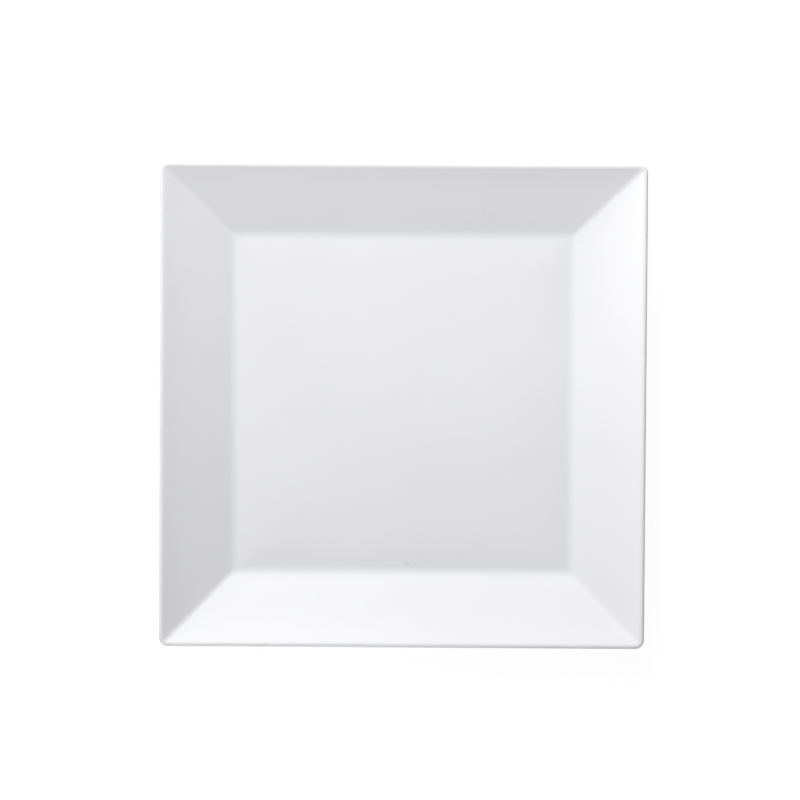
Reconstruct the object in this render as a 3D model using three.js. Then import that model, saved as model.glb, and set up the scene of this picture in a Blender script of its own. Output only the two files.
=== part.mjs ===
// Square dessert plate of glazed porcelain, in millimetres, +Z up, standing on its foot at Z = 0.
//
// The fired body is one lofted solid: nested rounded squares, one for each point of a half section that runs
// from the middle of the well, out over the lip and back under to the middle of the base. Glaze covers the
// body everywhere but on the foot, which is wiped bare so that it doesn't stick to the kiln shelf. The bare
// foot parts the glaze into two coats: one over the face and the outside, and one in the foot's recess.
import * as THREE from "three";

const { clamp, degToRad, mapLinear } = THREE.MathUtils;

// Outline, seen from above
const plateWidth = 190;
const plateHeight = 20;
const cornerRadius = 3.6;
const mitreRadius = 2.2; // plan radius of the folds where two rim faces meet

// Well: a crowned floor that falls a little towards the folds around it
const wellThickness = 4.5; // at the folds
const wellFillet = 8;
const gutterAngle = degToRad(5);
const gutterRun = 3; // straight fall between the crown and the fold
const crownPower = 8; // a higher power keeps more of the floor level

// Rim: four sloping faces that curl up and roll over into an upright edge
const rimWidth = 28.8; // from the lip to the folds
const lipHeight = 3.4; // of the upright edge
const lipEdgeRadius = 0.9; // rounding at the top and the foot of that edge
const lipRollRadius = 2.4; // rounding of the face into the top of the lip
const lipAngle = degToRad(29); // slope of the face where the roll begins
const curlRun = 11; // width of the curled part
const kneeRadius = 10; // underside, where the rim leaves the base

// Foot: a raised square band, a little narrower at the table
const footInset = 7; // from the folds to the band's outer side
const footBand = 4;
const footHeight = 2.8;
const footDraft = degToRad(8);
const footFillet = 1.5;
const footEdgeRadius = 0.6;
const footCornerRadius = 10;
const baseArch = 0.5; // rise of the base in the middle of the recess

// Glaze
const glazeThickness = 0.3;
const bareHeight = 1; // unglazed height of the foot

// Fineness of the loft
const cornerSteps = 4;
const crownSteps = 6;
const curveSteps = 3; // a THREE.Path gives twice as many to an arc

const quarterTurn = Math.PI / 2;

// A point at a distance and an angle from a centre
function polar(centre, distance, angle) {
  return new THREE.Vector2(Math.cos(angle), Math.sin(angle)).multiplyScalar(distance).add(centre);
}

// Runs a path straight towards a corner and rounds it, ready to go on to the next point
function roundCorner(path, corner, next, radius) {
  const arriving = corner.clone().sub(path.currentPoint);
  const leaving = next.clone().sub(corner);
  const turn = Math.atan2(arriving.cross(leaving), arriving.dot(leaving));
  const bend = Math.tan(Math.abs(turn) / 2);
  const wall = 0.9 * Math.min(arriving.length(), leaving.length()); // a fillet stays inside its walls
  const reach = Math.min(radius * bend, wall);
  const fillet = reach / bend;
  const start = polar(corner, -reach, arriving.angle());
  const inward = arriving.angle() + Math.sign(turn) * quarterTurn;
  const centre = polar(start, fillet, inward);
  path.lineTo(start.x, start.y);
  path.absarc(centre.x, centre.y, fillet, inward + Math.PI, inward + Math.PI + turn, turn < 0);
}

// Half section of the face: crowned floor, fold, rim slope, curl and the top of the lip
const wellFold = new THREE.Vector2(plateWidth / 2 - rimWidth, footHeight + wellThickness);
const lipTop = new THREE.Vector2(plateWidth / 2 - lipEdgeRadius, plateHeight - lipEdgeRadius);
const lipFoot = new THREE.Vector2(lipTop.x, plateHeight - lipHeight + lipEdgeRadius);
const lipRoll = new THREE.Vector2(lipTop.x, plateHeight - lipRollRadius);
const lipStart = polar(lipRoll, lipRollRadius, lipAngle + quarterTurn);
const curlHalf = curlRun / 2;
const curlMiddle = new THREE.Vector2(lipStart.x - curlHalf, lipStart.y - curlHalf * Math.tan(lipAngle));
const rimAngle = curlMiddle.clone().sub(wellFold).angle();
const curlStart = new THREE.Vector2(curlMiddle.x - curlHalf, curlMiddle.y - curlHalf * Math.tan(rimAngle));
const floorEdge = polar(wellFold, gutterRun, Math.PI - gutterAngle);

function crownedFloor() {
  const rise = (floorEdge.x * Math.tan(gutterAngle)) / crownPower; // so that it meets the gutter smoothly
  const points = [];
  for (let step = 0; step < crownSteps; step++) {
    const share = Math.sqrt(step / crownSteps); // closer together near the edge, where the floor bends
    points.push(new THREE.Vector2(floorEdge.x * share, floorEdge.y + rise * (1 - share ** crownPower)));
  }
  return points;
}

function rimFace() {
  const path = new THREE.Path();
  path.moveTo(floorEdge.x, floorEdge.y);
  roundCorner(path, wellFold, curlStart, wellFillet);
  path.lineTo(curlStart.x, curlStart.y);
  path.quadraticCurveTo(curlMiddle.x, curlMiddle.y, lipStart.x, lipStart.y);
  path.absarc(lipRoll.x, lipRoll.y, lipRollRadius, lipAngle + quarterTurn, quarterTurn, true);
  path.absarc(lipTop.x, lipTop.y, lipEdgeRadius, quarterTurn, 0, true);
  return path.getPoints(curveSteps);
}

// Half section of the underside: foot of the lip, rim, knee, base and the foot's outer side
const knee = new THREE.Vector2(wellFold.x + wellThickness * Math.tan(rimAngle / 2), footHeight);
const kneeToLip = lipFoot.clone().sub(knee);
const undersideAngle = kneeToLip.angle() - Math.asin(lipEdgeRadius / kneeToLip.length());
const footLean = (footHeight - bareHeight) * Math.tan(footDraft);
const footOuter = new THREE.Vector2(wellFold.x - footInset, bareHeight);
const footInner = new THREE.Vector2(footOuter.x - footBand, bareHeight);

function underside() {
  const footRoot = new THREE.Vector2(footOuter.x + footLean, footHeight);
  const path = new THREE.Path();
  path.absarc(lipFoot.x, lipFoot.y, lipEdgeRadius, 0, undersideAngle - quarterTurn, true);
  roundCorner(path, knee, footRoot, kneeRadius);
  roundCorner(path, footRoot, footOuter, footFillet);
  path.lineTo(footOuter.x, footOuter.y);
  return path.getPoints(curveSteps);
}

// Half section of the recess: the foot's inner side and the arched base
function recess() {
  const footRoot = new THREE.Vector2(footInner.x - footLean, footHeight);
  const archTop = new THREE.Vector2(0, footHeight + baseArch);
  const archMiddle = new THREE.Vector2(footRoot.x / 2, archTop.y);
  const path = new THREE.Path();
  path.moveTo(footInner.x, footInner.y);
  roundCorner(path, footRoot, archMiddle, footFillet);
  path.quadraticCurveTo(archMiddle.x, archMiddle.y, archTop.x, archTop.y);
  return path.getPoints(curveSteps);
}

// Plan radius of the corners at a given half width
function faceRadius(half) {
  const onLip = clamp(half, lipStart.x, plateWidth / 2);
  return Math.min(half, mapLinear(onLip, lipStart.x, plateWidth / 2, mitreRadius, cornerRadius));
}

function undersideRadius(half) {
  return mapLinear(half, footOuter.x, plateWidth / 2, footCornerRadius, cornerRadius);
}

function footRadius(half) {
  return Math.max(footCornerRadius - (footOuter.x - half), 0);
}

function recessRadius(half) {
  return Math.min(half, footRadius(footInner.x));
}

// A station is one rounded square of the loft
function stations(points, radiusAt) {
  return points.map((point) => ({ half: point.x, height: point.y, radius: radiusAt(point.x) }));
}

// The same stations, moved inwards from the surface by a depth
function sunk(skin, depth) {
  return skin.map((station, index) => {
    const before = skin[index - 1] ?? station;
    const after = skin[index + 1] ?? station;
    const run = new THREE.Vector2(after.half - before.half, after.height - before.height).normalize();
    const onAxis = station.half === 0;
    const outward = onAxis ? new THREE.Vector2(0, Math.sign(run.x)) : new THREE.Vector2(-run.y, run.x);
    return {
      half: station.half - depth * outward.x,
      height: station.height - depth * outward.y,
      radius: station.radius - depth * outward.x,
    };
  });
}

// The points of one station, anticlockwise from above; a station on the axis is a single point
function ring({ half, height, radius }) {
  if (half === 0) return [new THREE.Vector3(0, 0, height)];
  const points = [];
  for (let corner = 0; corner < 4; corner++) {
    const centre = polar(new THREE.Vector2(), Math.SQRT2 * (half - radius), (corner + 0.5) * quarterTurn);
    for (let step = 0; step <= cornerSteps; step++) {
      const point = polar(centre, radius, (corner + step / cornerSteps) * quarterTurn);
      points.push(new THREE.Vector3(point.x, point.y, height));
    }
  }
  return points;
}

// A closed skin over stations that begin and end on the axis
function loft(skin) {
  const vertices = [];
  const triangles = [];
  const rings = skin.map(ring).map((points) => {
    const first = vertices.length;
    vertices.push(...points);
    return points.map((point, index) => first + index);
  });

  // The shorter diagonal splits each face, so that a coat and the body under it are split alike
  function addFace(here, next, hereBelow, nextBelow) {
    const down = vertices[here].distanceToSquared(vertices[nextBelow]);
    const up = vertices[hereBelow].distanceToSquared(vertices[next]);
    if (here === next) triangles.push(here, hereBelow, nextBelow);
    else if (hereBelow === nextBelow) triangles.push(here, hereBelow, next);
    else if (down < up) triangles.push(here, hereBelow, nextBelow, here, nextBelow, next);
    else triangles.push(here, hereBelow, next, next, hereBelow, nextBelow);
  }

  for (let index = 1; index < rings.length; index++) {
    const above = rings[index - 1];
    const below = rings[index];
    const sides = Math.max(above.length, below.length);
    for (let side = 0; side < sides; side++) {
      const next = side + 1;
      addFace(
        above[side % above.length],
        above[next % above.length],
        below[side % below.length],
        below[next % below.length],
      );
    }
  }
  const geometry = new THREE.BufferGeometry().setFromPoints(vertices);
  geometry.setIndex(triangles);
  geometry.computeVertexNormals();
  return geometry;
}

// The bare foot, from the edge of the outer coat, across the table face, to the edge of the recess coat
function bareFoot(outerEdge, innerEdge) {
  const lean = Math.tan(footDraft);
  const outerCorner = new THREE.Vector2(outerEdge.half - outerEdge.height * lean, 0);
  const innerCorner = new THREE.Vector2(innerEdge.half + innerEdge.height * lean, 0);
  const path = new THREE.Path();
  path.moveTo(outerEdge.half, outerEdge.height);
  roundCorner(path, outerCorner, innerCorner, footEdgeRadius);
  roundCorner(path, innerCorner, new THREE.Vector2(innerEdge.half, innerEdge.height), footEdgeRadius);
  return stations(path.getPoints(curveSteps).slice(1), footRadius);
}

const outerSurface = [
  ...stations([...crownedFloor(), ...rimFace()], faceRadius),
  ...stations(underside(), undersideRadius),
];
const recessSurface = stations(recess(), recessRadius);
const outerBond = sunk(outerSurface, glazeThickness);
const recessBond = sunk(recessSurface, glazeThickness);
const bareBand = bareFoot(outerBond.at(-1), recessBond[0]);

const porcelain = new THREE.MeshStandardMaterial({ color: 0xe9e6df, roughness: 0.75, metalness: 0 });
const glaze = new THREE.MeshStandardMaterial({ color: 0xeff0f3, roughness: 0.15, metalness: 0 });

function piece(name, skin, material) {
  const mesh = new THREE.Mesh(loft(skin), material);
  mesh.name = name;
  return mesh;
}

const plate = new THREE.Group();
plate.name = "square_dessert_plate";
plate.add(
  piece("porcelain_body", [...outerBond, ...bareBand, ...recessBond], porcelain),
  piece("outer_glaze_coat", [...outerSurface, ...outerBond.toReversed()], glaze),
  piece("recess_glaze_coat", [...recessBond.toReversed(), ...recessSurface], glaze),
);

export default plate;
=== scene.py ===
import math
from types import SimpleNamespace

import bmesh
import bpy
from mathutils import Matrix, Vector


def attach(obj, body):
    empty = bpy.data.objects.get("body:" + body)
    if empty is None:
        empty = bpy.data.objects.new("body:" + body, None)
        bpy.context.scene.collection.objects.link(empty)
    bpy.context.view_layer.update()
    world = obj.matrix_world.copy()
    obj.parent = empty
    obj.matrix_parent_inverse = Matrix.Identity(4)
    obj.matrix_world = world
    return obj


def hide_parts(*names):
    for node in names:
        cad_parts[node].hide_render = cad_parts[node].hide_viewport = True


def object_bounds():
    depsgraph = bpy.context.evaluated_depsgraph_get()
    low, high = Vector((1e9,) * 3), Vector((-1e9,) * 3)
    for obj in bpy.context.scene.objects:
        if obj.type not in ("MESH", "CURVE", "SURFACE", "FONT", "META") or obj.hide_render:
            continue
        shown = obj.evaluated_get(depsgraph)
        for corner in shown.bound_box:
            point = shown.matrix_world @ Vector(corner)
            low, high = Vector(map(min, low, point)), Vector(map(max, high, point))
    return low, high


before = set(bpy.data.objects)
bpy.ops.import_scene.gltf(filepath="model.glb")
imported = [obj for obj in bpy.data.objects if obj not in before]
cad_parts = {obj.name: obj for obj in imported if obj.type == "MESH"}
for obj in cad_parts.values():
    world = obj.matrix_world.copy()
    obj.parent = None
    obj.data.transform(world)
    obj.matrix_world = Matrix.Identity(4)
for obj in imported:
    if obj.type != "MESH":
        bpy.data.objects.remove(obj)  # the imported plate: a porcelain body and its two coats of glaze
cadLow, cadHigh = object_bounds()
print("frame:", sorted(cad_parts), "box", [round(v, 4) for v in (*cadLow, *cadHigh)])

# Shape of the plate, in metres and degrees; the overall size comes from the frame
plateShape = {
    "rimWidth": 0.0288,  # lip to fold
    "lipHeight": 0.0034,  # of its upright outer edge
    "lipEdge": 0.0009,  # rounding of that edge
    "lipRoll": 0.0024,  # rounding over the top, into the rim face
    "lipAngle": 29,  # slope of the rim face where the roll begins
    "curlRun": 0.011,  # where the rim face turns up into the lip
    "wellThickness": 0.0045,
    "wellFillet": 0.008,
    "gutterAngle": 5,  # fall of the floor at the fold
    "gutterRun": 0.003,
    "crownPower": 8,  # a higher power keeps more of the floor level
    "kneeRadius": 0.010,  # underside, where the rim leaves the base
    "mitreRadius": 0.0015,  # crisp folds between the rim faces
    "cornerRadius": 0.0036,
    "footInset": 0.007,  # fold to the outer side of the foot
    "footBand": 0.004,
    "footHeight": 0.0028,
    "footDraft": 8,
    "footFillet": 0.0015,
    "footEdge": 0.0009,
    "footCorner": 0.010,
    "baseArch": 0.0005,
    "bareHeight": 0.001,  # unglazed height of the foot
    "glaze": 0.0003,
    "cornerSteps": 10,
    "sideSteps": 16,
    "filletSteps": 10,
    "rollSteps": 8,
    "lipEdgeSteps": 10,
    "lipFootSteps": 8,
    "footFilletSteps": 6,
    "footEdgeSteps": 5,
    "middleRings": (0.7, 0.4, 0.2),  # shares of the first ring, towards the axis
    "crownRings": (0.5, 0.6, 0.68, 0.75, 0.81, 0.86, 0.905, 0.94, 0.97),  # closer where the floor bends
    "slopeRing": 0.4,  # share of the slope, down from the curl
    "archRings": (0.85, 0.65, 0.45, 0.25),
    "support": 0.0006,  # rings kept on each side of a fillet, so that flat faces shade flat
    "tight": 0.00008,  # the same on the short sides of the foot
    "smoothAngle": 50,
}
hair = 1e-6  # less than any gap between two points


# Selects, in edit mode, the points that pass a test on their place
def pickPoints(piece, test):
    mesh = bmesh.from_edit_mesh(piece.data)
    for point in mesh.verts:
        point.select = bool(test(point.co))
    mesh.select_flush_mode()
    bmesh.update_edit_mesh(piece.data)


# Selects, in edit mode, the faces that pass a test on their middle
def pickFaces(piece, test):
    mesh = bmesh.from_edit_mesh(piece.data)
    for face in mesh.faces:
        face.select_set(bool(test(face.calc_center_median())))
    bmesh.update_edit_mesh(piece.data)


def polar(centre, distance, angle):
    return Vector((centre.x + distance * math.cos(angle), centre.y + distance * math.sin(angle)))


# Points of a half section round a corner, with a support point a little before and after
def filletPoints(before, corner, after, radius, steps, lead, trail):
    arriving = (corner - before).normalized()
    leaving = (after - corner).normalized()
    turn = math.atan2(arriving.x * leaving.y - arriving.y * leaving.x, arriving.dot(leaving))
    reach = radius * math.tan(abs(turn) / 2)
    inward = math.atan2(arriving.y, arriving.x) + math.copysign(math.pi / 2, turn)
    centre = polar(corner - arriving * reach, radius, inward)
    points = [corner - arriving * (reach + lead)]
    for step in range(steps + 1):
        points.append(polar(centre, radius, inward + math.pi + turn * step / steps))
    points.append(corner + leaving * (reach + trail))
    return points


def arcPoints(centre, radius, fromAngle, toAngle, steps):
    sweep = toAngle - fromAngle
    return [polar(centre, radius, fromAngle + sweep * step / steps) for step in range(1, steps + 1)]


# The corners and centres of the half section, as (distance from the axis, height)
def markSection(shape):
    edge = shape["lipEdge"]
    lipAngle = math.radians(shape["lipAngle"])
    run = shape["curlRun"] / 2
    at = SimpleNamespace()
    at.half = cadHigh.x
    at.fold = Vector((at.half - shape["rimWidth"], shape["footHeight"] + shape["wellThickness"]))
    at.lipTop = Vector((at.half - edge, cadHigh.z - edge))
    at.lipFoot = Vector((at.half - edge, cadHigh.z - shape["lipHeight"] + edge))
    at.rollCentre = Vector((at.half - edge, cadHigh.z - shape["lipRoll"]))
    at.rollFrom = lipAngle + math.pi / 2
    at.lipStart = polar(at.rollCentre, shape["lipRoll"], at.rollFrom)
    at.curlMiddle = at.lipStart - Vector((run, run * math.tan(lipAngle)))
    rimAngle = math.atan2(at.curlMiddle.y - at.fold.y, at.curlMiddle.x - at.fold.x)
    at.curlStart = at.curlMiddle - Vector((run, run * math.tan(rimAngle)))
    at.gutter = math.radians(shape["gutterAngle"])
    at.floorEdge = polar(at.fold, shape["gutterRun"], math.pi - at.gutter)
    at.knee = Vector((at.fold.x + shape["wellThickness"] * math.tan(rimAngle / 2), shape["footHeight"]))

    bare = shape["bareHeight"]
    rise = shape["footHeight"] - bare
    lean = math.tan(math.radians(shape["footDraft"]))
    at.footOuter = at.fold.x - shape["footInset"]
    at.footInner = at.footOuter - shape["footBand"]
    at.outerRoot = Vector((at.footOuter + rise * lean, shape["footHeight"]))
    at.outerStop = Vector((at.footOuter, bare))
    at.outerToe = Vector((at.footOuter - bare * lean, 0))
    at.innerToe = Vector((at.footInner + bare * lean, 0))
    at.innerStop = Vector((at.footInner, bare))
    at.innerRoot = Vector((at.footInner - rise * lean, shape["footHeight"]))
    at.archTop = Vector((0, shape["footHeight"] + shape["baseArch"]))
    return at


# Crowned floor, fold, slope, curl, and the lip's roll and upper edge
def faceLine(shape, at):
    steps = shape["filletSteps"]
    support = shape["support"]
    power = shape["crownPower"]
    crown = at.floorEdge.x * math.tan(at.gutter) / power  # so that it meets the gutter smoothly
    line = []
    for share in shape["crownRings"]:
        line.append(Vector((at.floorEdge.x * share, at.floorEdge.y + crown * (1 - share ** power))))
    line += filletPoints(at.floorEdge, at.fold, at.curlStart, shape["wellFillet"], steps, support, support)
    line += [at.curlStart - (at.curlStart - at.fold) * shape["slopeRing"], at.curlStart]
    for step in range(1, steps + 1):
        t = step / steps
        line.append(at.curlStart * (1 - t) ** 2 + at.curlMiddle * (2 * t * (1 - t)) + at.lipStart * t ** 2)
    line += arcPoints(at.rollCentre, shape["lipRoll"], at.rollFrom, math.pi / 2, shape["rollSteps"])
    line += arcPoints(at.lipTop, shape["lipEdge"], math.pi / 2, 0, shape["lipEdgeSteps"])
    return line


# Lower edge of the lip, rim, knee, base, and the foot's outer side down to the end of the glaze
def underLine(shape, at):
    edge = shape["lipEdge"]
    support = shape["support"]
    toLip = at.lipFoot - at.knee
    underAngle = math.atan2(toLip.y, toLip.x) - math.asin(edge / toLip.length)
    line = [Vector((at.half, at.lipFoot.y))]
    line += arcPoints(at.lipFoot, edge, 0, underAngle - math.pi / 2, shape["lipFootSteps"])
    lipEnd = line[-1]
    line.append(lipEnd + (at.knee - lipEnd).normalized() * support)
    line.append((lipEnd + at.knee) / 2)
    line += filletPoints(
        lipEnd, at.knee, at.outerRoot,
        shape["kneeRadius"], shape["filletSteps"], support, support)
    line += filletPoints(
        at.knee, at.outerRoot, at.outerStop,
        shape["footFillet"], shape["footFilletSteps"], support, shape["tight"])
    line.append(at.outerStop)
    return line


# The bare foot, across its table face
def footLine(shape, at):
    rounding = (shape["footEdge"], shape["footEdgeSteps"], shape["tight"], shape["tight"])
    line = filletPoints(at.outerStop, at.outerToe, at.innerToe, *rounding)
    line += filletPoints(at.outerToe, at.innerToe, at.innerStop, *rounding)
    return line


# The foot's inner side and the arched base
def recessLine(shape, at):
    line = [at.innerStop]
    line += filletPoints(
        at.innerStop, at.innerRoot, at.archTop,
        shape["footFillet"], shape["footFilletSteps"], shape["tight"], shape["support"])
    for share in shape["archRings"]:
        height = shape["footHeight"] + shape["baseArch"] * (1 - share ** 2)
        line.append(Vector((at.innerRoot.x * share, height)))
    return line


# Rings of (half width, height, plan radius), from the well out over the lip and back under to the base
def plateRings(shape):
    at = markSection(shape)

    def faceRadius(x):
        onLip = min(max((x - at.lipStart.x) / (at.half - at.lipStart.x), 0), 1)
        return shape["mitreRadius"] + (shape["cornerRadius"] - shape["mitreRadius"]) * onLip

    def underRadius(x):
        share = (x - at.footOuter) / (at.half - at.footOuter)
        return shape["footCorner"] + (shape["cornerRadius"] - shape["footCorner"]) * share

    def footRadius(x):
        return shape["footCorner"] - (at.footOuter - x)

    rings = [(p.x, p.y, faceRadius(p.x)) for p in faceLine(shape, at)]
    rings += [(p.x, p.y, underRadius(p.x)) for p in underLine(shape, at)]
    rings += [(p.x, p.y, footRadius(p.x)) for p in footLine(shape, at)]
    rings += [(p.x, p.y, footRadius(at.footInner)) for p in recessLine(shape, at)]
    return rings, at.archTop.y


# Draws the selected quarter ring out to the next half width, height and corner radius
def extrudeRing(piece, last, ring):
    lastHalf, lastHeight, lastRadius = last
    half, height, radius = ring
    corner = half - radius
    grow = corner / (lastHalf - lastRadius)
    swell = radius - lastRadius * grow
    turn = radius / (lastRadius * grow)
    bpy.ops.mesh.extrude_region_move(TRANSFORM_OT_translate={"value": (0, 0, height - lastHeight)})
    bpy.ops.transform.resize(value=(grow, grow, 1), center_override=(0, 0, height))
    mesh = bmesh.from_edit_mesh(piece.data)
    mesh.verts.index_update()
    mesh.verts.ensure_lookup_table()
    drawn = [point.index for point in mesh.verts if point.select]
    places = {index: mesh.verts[index].co.copy() for index in drawn}
    edge = corner - hair

    def pick(test):
        live = bmesh.from_edit_mesh(piece.data)
        live.verts.ensure_lookup_table()
        for index in drawn:
            live.verts[index].select = bool(test(places[index]))
        live.select_flush_mode()
        bmesh.update_edit_mesh(piece.data)

    pick(lambda p: p.x >= edge and p.y >= edge)  # the rounded corner
    bpy.ops.transform.resize(value=(turn, turn, 1), center_override=(corner, corner, height))
    pick(lambda p: p.y < edge)  # then the two straight sides
    bpy.ops.transform.translate(value=(swell, 0, 0))
    pick(lambda p: p.x < edge)
    bpy.ops.transform.translate(value=(0, swell, 0))
    pick(lambda p: True)
    return ring


# Draws the selected ring to a point on the axis
def closeOnAxis(fromHeight, toHeight):
    bpy.ops.mesh.extrude_region_move(TRANSFORM_OT_translate={"value": (0, 0, toHeight - fromHeight)})
    bpy.ops.transform.resize(value=(0, 0, 1), center_override=(0, 0, toHeight))


# The outline of the first ring: a plane with rounded corners and divided sides, cut down to one quarter
def modelFirstRing(shape, half, height, radius):
    bpy.ops.object.select_all(action="DESELECT")
    bpy.ops.mesh.primitive_plane_add(size=2 * half, location=(0, 0, height))
    skin = bpy.context.object
    skin.name = "plateSkin"
    bpy.ops.object.transform_apply(location=True)
    bpy.ops.object.mode_set(mode="EDIT")
    bpy.ops.mesh.select_mode(type="VERT")
    bpy.ops.mesh.bevel(offset=radius, segments=shape["cornerSteps"], affect="VERTICES")
    bpy.ops.mesh.select_all(action="SELECT")
    bpy.ops.mesh.delete(type="ONLY_FACE")
    bpy.ops.mesh.select_all(action="DESELECT")
    mesh = bmesh.from_edit_mesh(skin.data)
    for edge in mesh.edges:
        if edge.calc_length() > radius:
            edge.select_set(True)
    bmesh.update_edit_mesh(skin.data)
    bpy.ops.mesh.subdivide(number_cuts=shape["sideSteps"] - 1)
    for normal in ((1, 0, 0), (0, 1, 0)):
        bpy.ops.mesh.select_all(action="SELECT")
        bpy.ops.mesh.bisect(plane_co=(0, 0, 0), plane_no=normal, clear_inner=True)
    bpy.ops.mesh.select_all(action="SELECT")
    return skin


# One closed skin of the whole plate: a quarter is drawn ring by ring, then mirrored
def modelSkin(shape):
    rings, archHeight = plateRings(shape)
    first = rings[0]
    half, height, radius = first
    skin = modelFirstRing(shape, half, height, radius)

    # the floor closes on the axis first
    last = first
    for share in shape["middleRings"]:
        last = extrudeRing(skin, last, (half * share, height, radius))
    closeOnAxis(height, height)

    # then the rest is drawn outwards from the first ring and back under to the base
    inside = half - radius / 2
    pickPoints(skin, lambda p: max(p.x, p.y) > inside)
    last = first
    for ring in rings[1:]:
        last = extrudeRing(skin, last, ring)
    closeOnAxis(last[1], archHeight)
    bpy.ops.object.mode_set(mode="OBJECT")

    mirror = skin.modifiers.new("quarters", "MIRROR")
    mirror.use_axis = (True, True, False)
    mirror.merge_threshold = 10 * hair
    bpy.ops.object.modifier_apply(modifier=mirror.name)
    bpy.ops.object.mode_set(mode="EDIT")
    bpy.ops.mesh.select_all(action="SELECT")
    bpy.ops.mesh.remove_doubles(threshold=2 * hair)
    bpy.ops.mesh.normals_make_consistent(inside=False)
    bpy.ops.object.mode_set(mode="OBJECT")
    return skin


def copyPiece(source, name):
    bpy.ops.object.select_all(action="DESELECT")
    source.select_set(True)
    bpy.context.view_layer.objects.active = source
    bpy.ops.object.duplicate()
    piece = bpy.context.object
    piece.name = name
    piece.data.name = name
    return piece


# A coat is the part of the skin that the glaze covers, given its thickness inwards
def modelCoat(skin, name, covered, shape):
    coat = copyPiece(skin, name)
    bpy.ops.object.mode_set(mode="EDIT")
    bpy.ops.mesh.select_mode(type="FACE")
    pickFaces(coat, lambda middle: not covered(middle))
    bpy.ops.mesh.delete(type="FACE")
    bpy.ops.object.mode_set(mode="OBJECT")
    wall = coat.modifiers.new("thickness", "SOLIDIFY")
    wall.thickness = shape["glaze"]
    wall.offset = -1
    wall.use_even_offset = True
    bpy.ops.object.modifier_apply(modifier=wall.name)
    bpy.ops.object.shade_smooth_by_angle(angle=math.radians(shape["smoothAngle"]))
    return coat


# The body is the skin sunk by the glaze, with its bare foot let down to the table again
def modelBody(skin, shape):
    body = copyPiece(skin, "porcelainBody")
    bpy.ops.object.mode_set(mode="EDIT")
    bpy.ops.mesh.select_mode(type="VERT")
    bpy.ops.mesh.select_all(action="SELECT")
    bpy.ops.transform.shrink_fatten(value=-shape["glaze"], use_even_offset=True)
    pickPoints(body, lambda p: p.z < shape["bareHeight"])
    bpy.ops.transform.translate(value=(0, 0, -shape["glaze"]))
    bpy.ops.object.mode_set(mode="OBJECT")
    bpy.ops.object.shade_smooth_by_angle(angle=math.radians(shape["smoothAngle"]))
    return body


bareTop = plateShape["bareHeight"]
recessHalf = cadHigh.x - plateShape["rimWidth"] - plateShape["footInset"] - plateShape["footBand"]
recessTop = plateShape["footHeight"] + 2 * plateShape["baseArch"]  # between the base and the floor


def inRecess(middle):
    return max(abs(middle.x), abs(middle.y)) < recessHalf and middle.z < recessTop


plateSkin = modelSkin(plateShape)
print("skin:", len(plateSkin.data.polygons), "faces")
outerCoat = modelCoat(plateSkin, "outerGlaze", lambda p: p.z > bareTop and not inRecess(p), plateShape)
recessCoat = modelCoat(plateSkin, "recessGlaze", lambda p: p.z > bareTop and inRecess(p), plateShape)
porcelain = modelBody(plateSkin, plateShape)
bpy.data.objects.remove(plateSkin)
for piece in (outerCoat, recessCoat, porcelain):
    print("piece:", piece.name, len(piece.data.polygons), "faces", [round(v, 5) for v in piece.dimensions])


def newMaterial(name):
    material = bpy.data.materials.new(name)
    material.use_nodes = True
    tree = material.node_tree
    tree.nodes.clear()
    return material, tree, tree.nodes.new("ShaderNodeOutputMaterial")


# A material with one main shader, and the place on the piece that its patterns follow
def newFinish(name):
    material, tree, out = newMaterial(name)
    shader = tree.nodes.new("ShaderNodeBsdfPrincipled")
    tree.links.new(shader.outputs[0], out.inputs[0])
    place = tree.nodes.new("ShaderNodeTexCoord").outputs["Object"]
    return material, tree, shader, place


def splitAxes(tree, place):
    axes = tree.nodes.new("ShaderNodeSeparateXYZ")
    tree.links.new(place, axes.inputs[0])
    return axes.outputs


def addNoise(tree, place, scale, detail):
    noise = tree.nodes.new("ShaderNodeTexNoise")
    noise.inputs["Scale"].default_value = scale
    noise.inputs["Detail"].default_value = detail
    tree.links.new(place, noise.inputs["Vector"])
    return noise.outputs[0]


# Stretches a range of values over another, and holds the ends
def spread(tree, value, fromRange, toRange=(0.0, 1.0)):
    stretch = tree.nodes.new("ShaderNodeMapRange")
    for name, number in zip(("From Min", "From Max", "To Min", "To Max"), (*fromRange, *toRange)):
        stretch.inputs[name].default_value = number
    tree.links.new(value, stretch.inputs["Value"])
    return stretch.outputs[0]


def calculate(tree, operation, *values):
    maths = tree.nodes.new("ShaderNodeMath")
    maths.operation = operation
    for socket, value in zip(maths.inputs, values):
        if isinstance(value, (int, float)):
            socket.default_value = value
        else:
            tree.links.new(value, socket)
    return maths.outputs[0]


# Lays a colour over another where the factor says
def tinted(tree, factor, under, over):
    tint = tree.nodes.new("ShaderNodeMix")
    tint.data_type = "RGBA"
    tree.links.new(factor, tint.inputs["Factor"])
    for name, colour in (("A", under), ("B", over)):
        if isinstance(colour, tuple):
            tint.inputs[name].default_value = colour
        else:
            tree.links.new(colour, tint.inputs[name])
    return tint.outputs["Result"]


# Relief in metres, laid over the relief before it
def embossed(tree, height, depth, before=None):
    relief = tree.nodes.new("ShaderNodeBump")
    relief.inputs["Strength"].default_value = 1.0
    relief.inputs["Distance"].default_value = depth
    tree.links.new(height, relief.inputs["Height"])
    if before is not None:
        tree.links.new(before, relief.inputs["Normal"])
    return relief.outputs[0]


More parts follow.
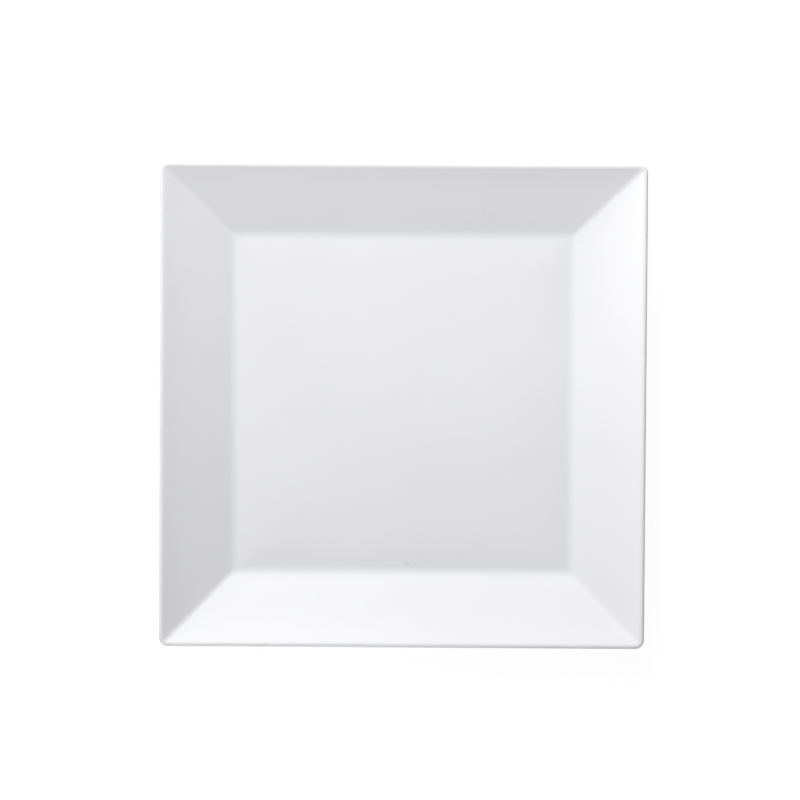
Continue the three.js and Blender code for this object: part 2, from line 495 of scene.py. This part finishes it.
glazeLook = {
    "thick": (0.79, 0.792, 0.818, 1),
    "thin": (0.765, 0.766, 0.790, 1),
    "cloud": (16, 3.0),  # scale and detail of the noise between the two
    "cloudRange": (0.3, 0.7),
    "pooled": (0.765, 0.776, 0.806, 1),  # deeper glaze, run together along the folds
    "poolRange": (0.004, 0.0005),  # distance from the fold at the pool's edge and at its heart
    "poolShare": 0.8,
    "faceHeight": (0.0055, 0.0065),  # the pool is on the face and not under the base
    "overLip": (0.755, 0.750, 0.750, 1),  # the warmer body shows a little through the thin glaze of the lip
    "lipRange": (0.0032, 0.0004),  # distance inwards from the outline
    "lipShare": 0.7,
    "speck": (0.68, 0.68, 0.69, 1),
    "speckPlace": (0.0021, -0.0636, 0.0076),  # a pinhole at the fold nearest to the viewer
    "speckRange": (0.0010, 0.0004),
    "fine": (420, 1.0),
    "glossRange": (0.7, 1.3),  # of the cloud and the fine noise together
    "roughness": (0.13, 0.21),
    "coat": (0.1, 0.2),
    "coatRoughness": 0.06,
    # scale and detail of the noise, and its depth: uneven pressing, ripple and orange peel
    "relief": [(14, 1.0, 0.000035), (90, 2.0, 0.000006), (900, 2.0, 0.0000006)],
}


# White glaze: cool, glossy, faintly clouded and rippled, deeper in the folds and thinner over the lip
def whiteGlaze(look):
    material, tree, shader, place = newFinish("whiteGlaze")
    x, y, height = splitAxes(tree, place)
    reach = calculate(tree, "MAXIMUM", calculate(tree, "ABSOLUTE", x), calculate(tree, "ABSOLUTE", y))
    cloud = addNoise(tree, place, *look["cloud"])
    fine = addNoise(tree, place, *look["fine"])
    colour = tinted(tree, spread(tree, cloud, look["cloudRange"]), look["thick"], look["thin"])

    fold = cadHigh.x - plateShape["rimWidth"]
    fromFold = calculate(tree, "ABSOLUTE", calculate(tree, "SUBTRACT", reach, fold))
    nearFold = spread(tree, fromFold, look["poolRange"], (0, look["poolShare"]))
    pool = calculate(tree, "MULTIPLY", nearFold, spread(tree, height, look["faceHeight"]))
    colour = tinted(tree, pool, colour, look["pooled"])
    lipRange = [cadHigh.x - inwards for inwards in look["lipRange"]]
    colour = tinted(tree, spread(tree, reach, lipRange, (0, look["lipShare"])), colour, look["overLip"])
    apart = tree.nodes.new("ShaderNodeVectorMath")
    apart.operation = "DISTANCE"
    apart.inputs[1].default_value = look["speckPlace"]
    tree.links.new(place, apart.inputs[0])
    colour = tinted(tree, spread(tree, apart.outputs["Value"], look["speckRange"]), colour, look["speck"])
    tree.links.new(colour, shader.inputs["Base Color"])

    gloss = spread(tree, calculate(tree, "ADD", cloud, fine), look["glossRange"], look["roughness"])
    tree.links.new(gloss, shader.inputs["Roughness"])
    tree.links.new(spread(tree, cloud, look["cloudRange"], look["coat"]), shader.inputs["Coat Weight"])
    shader.inputs["Coat Roughness"].default_value = look["coatRoughness"]
    relief = None
    for scale, detail, depth in look["relief"]:
        relief = embossed(tree, addNoise(tree, place, scale, detail), depth, relief)
    tree.links.new(relief, shader.inputs["Normal"])
    return material


bareLook = {
    "pale": (0.78, 0.755, 0.70, 1),
    "warm": (0.70, 0.665, 0.60, 1),
    "cloud": (60, 3.0),  # scale and detail of the noise between the two
    "cloudRange": (0.35, 0.65),
    "scuff": (0.47, 0.45, 0.42, 1),
    "scuffNoise": (120, 4.0),
    "scuffStretch": (1, 5, 1),
    "scuffTurn": (0, 0, 0.6),
    "scuffRange": (0.56, 0.72),
    "scuffShare": 0.6,
    "scuffHeight": (0.0003, 0.00005),  # scuffs are on the table face alone
    "speck": (0.36, 0.31, 0.25, 1),
    "speckNoise": (1500, 0.0),
    "speckRange": (0.76, 0.80),
    "grain": (2600, 2.0),
    "grainRange": (0.35, 0.65),
    "grainDepth": 0.00003,
    "roughness": (0.70, 0.92),
}


# Bare porcelain of the foot: matt and fine-grained, with a few dark specks and grey scuffs from tables
def barePorcelain(look):
    material, tree, shader, place = newFinish("barePorcelain")
    cloud = addNoise(tree, place, *look["cloud"])
    grain = addNoise(tree, place, *look["grain"])
    colour = tinted(tree, spread(tree, cloud, look["cloudRange"]), look["pale"], look["warm"])
    stretch = tree.nodes.new("ShaderNodeMapping")
    stretch.inputs["Scale"].default_value = look["scuffStretch"]
    stretch.inputs["Rotation"].default_value = look["scuffTurn"]
    tree.links.new(place, stretch.inputs["Vector"])
    scuff = addNoise(tree, stretch.outputs[0], *look["scuffNoise"])
    scuffed = spread(tree, scuff, look["scuffRange"], (0, look["scuffShare"]))
    onTable = spread(tree, splitAxes(tree, place)[2], look["scuffHeight"])
    colour = tinted(tree, calculate(tree, "MULTIPLY", scuffed, onTable), colour, look["scuff"])
    speck = spread(tree, addNoise(tree, place, *look["speckNoise"]), look["speckRange"])
    colour = tinted(tree, speck, colour, look["speck"])
    tree.links.new(colour, shader.inputs["Base Color"])
    tree.links.new(spread(tree, grain, look["grainRange"], look["roughness"]), shader.inputs["Roughness"])
    tree.links.new(embossed(tree, grain, look["grainDepth"]), shader.inputs["Normal"])
    return material


glaze = whiteGlaze(glazeLook)
bare = barePorcelain(bareLook)
for piece, material, node, slot in (
        (outerCoat, glaze, "outer_glaze_coat", "white_glaze"),
        (recessCoat, glaze, "recess_glaze_coat", "white_glaze"),
        (porcelain, bare, "porcelain_body", "bare_porcelain")):
    piece.data.materials.append(material)
    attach(piece, "root")
    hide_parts(node)
print("finishes:", glaze.name, bare.name)

# Daylight from the left, two softboxes well behind the far edge, two small ones just above it,
# and a low strip in front, below the height of the lip, that lights the outer edge and nothing inside
studio = {
    "floorSize": 6.0,
    "floorColour": (0.8, 0.8, 0.8, 1),
    "floorGlow": 0.93,  # what the camera sees of the floor before any light falls on it
    "floorShade": 0.14,  # how much of the plate's shadow shows
    "skyTowards": (-1, 0, 0),
    "skyStrength": 0.363,
    "lamps": [
        {"name": "highSoftbox", "place": (-0.29, 0.80, 0.85), "size": (0.6, 0.6), "power": 5.51},
        {"name": "lowSoftbox", "place": (-0.31, 1.14, 0.21), "size": (0.6, 0.6), "power": 5.92},
        {"name": "leftSoftbox", "place": (-0.16, 0.24, 0.40), "size": (0.24, 0.24), "power": 0.617},
        {"name": "rightSoftbox", "place": (0.06, 0.16, 0.25), "size": (0.16, 0.16), "power": 0.130},
        {"name": "frontStrip", "place": (-0.05, -0.20, 0.0105), "size": (0.12, 0.018), "power": 0.09},
    ],
}


# One shader for the light that a surface gives to others, and one for what is seen of it,
# straight on, in a reflection or through glass
def litOrSeen(tree, lit, seen):
    paths = tree.nodes.new("ShaderNodeLightPath").outputs
    direct = calculate(tree, "MAXIMUM", paths["Is Camera Ray"], paths["Is Glossy Ray"])
    direct = calculate(tree, "MAXIMUM", direct, paths["Is Transmission Ray"])
    pick = tree.nodes.new("ShaderNodeMixShader")
    for socket, source in zip(pick.inputs, (direct, lit, seen)):
        tree.links.new(source, socket)
    return pick.outputs[0]


def layFloor(look):
    bpy.ops.object.select_all(action="DESELECT")
    bpy.ops.mesh.primitive_plane_add(size=look["floorSize"], location=(0, 0, 0))
    floor = bpy.context.object
    floor.name = "studioFloor"
    material, tree, out = newMaterial("studioWhite")
    plain = tree.nodes.new("ShaderNodeBsdfDiffuse")
    plain.inputs["Color"].default_value = look["floorColour"]
    shade = tree.nodes.new("ShaderNodeBsdfDiffuse")
    shade.inputs["Color"].default_value = (look["floorShade"],) * 3 + (1,)
    glow = tree.nodes.new("ShaderNodeEmission")
    glow.inputs["Strength"].default_value = look["floorGlow"]
    both = tree.nodes.new("ShaderNodeAddShader")
    tree.links.new(shade.outputs[0], both.inputs[0])
    tree.links.new(glow.outputs[0], both.inputs[1])
    tree.links.new(litOrSeen(tree, plain.outputs[0], both.outputs[0]), out.inputs[0])
    floor.data.materials.append(material)


# The sky is brightest in one direction and fades to nothing on the other side, and is seen as plain white
def fillLight(look):
    world = bpy.data.worlds.new("studioFill")
    bpy.context.scene.world = world
    world.use_nodes = True
    tree = world.node_tree
    tree.nodes.clear()
    out = tree.nodes.new("ShaderNodeOutputWorld")
    along = tree.nodes.new("ShaderNodeVectorMath")
    along.operation = "DOT_PRODUCT"
    along.inputs[1].default_value = look["skyTowards"]
    tree.links.new(tree.nodes.new("ShaderNodeTexCoord").outputs["Generated"], along.inputs[0])
    strength = look["skyStrength"]
    level = calculate(tree, "MULTIPLY_ADD", along.outputs["Value"], strength, strength)
    sky = tree.nodes.new("ShaderNodeBackground")
    white = tree.nodes.new("ShaderNodeBackground")
    for background in (sky, white):
        background.inputs["Color"].default_value = (1, 1, 1, 1)
    tree.links.new(level, sky.inputs["Strength"])
    tree.links.new(litOrSeen(tree, sky.outputs[0], white.outputs[0]), out.inputs[0])


def hangLamp(lamp):
    light = bpy.data.lights.new(lamp["name"], "AREA")
    light.shape = "ELLIPSE"
    light.size, light.size_y = lamp["size"]
    light.energy = lamp["power"]
    softbox = bpy.data.objects.new(lamp["name"], light)
    bpy.context.scene.collection.objects.link(softbox)
    softbox.location = lamp["place"]
    softbox.rotation_euler = (-softbox.location).to_track_quat("-Z", "Y").to_euler()
    softbox.visible_camera = False
    softbox.visible_glossy = False  # the glaze mirrors the white room only, so no face burns out


# The photograph's view: nearly straight down, from a long way off
view = {
    "target": (0, 0, 0.012),
    "turn": (-5.05, 0, 0.333),  # degrees
    "distance": 2.5,
    "pixelsPerMm": 2.554,
    "targetPixel": (402.8, 404.5),
    "frame": 800,
    "sensor": 36.0,
    "clipEnd": 20,
}


def setCamera(look):
    data = bpy.data.cameras.new("photoCamera")
    camera = bpy.data.objects.new("photoCamera", data)
    bpy.context.scene.collection.objects.link(camera)
    camera.rotation_euler = [math.radians(v) for v in look["turn"]]
    axes = camera.rotation_euler.to_matrix()
    perPixel = 0.001 / look["pixelsPerMm"]
    across = (look["targetPixel"][0] - look["frame"] / 2) * perPixel
    down = (look["targetPixel"][1] - look["frame"] / 2) * perPixel
    camera.location = Vector(look["target"]) + axes @ Vector((-across, down, look["distance"]))
    data.sensor_width = look["sensor"]
    data.lens = look["distance"] * 1000 * look["pixelsPerMm"] * look["sensor"] / look["frame"]
    data.clip_end = look["clipEnd"]
    bpy.context.scene.camera = camera


layFloor(studio)
fillLight(studio)
for lamp in studio["lamps"]:
    hangLamp(lamp)
setCamera(view)
bpy.context.scene.view_settings.view_transform = "Standard"
print("studio:", len(studio["lamps"]), "lamps")
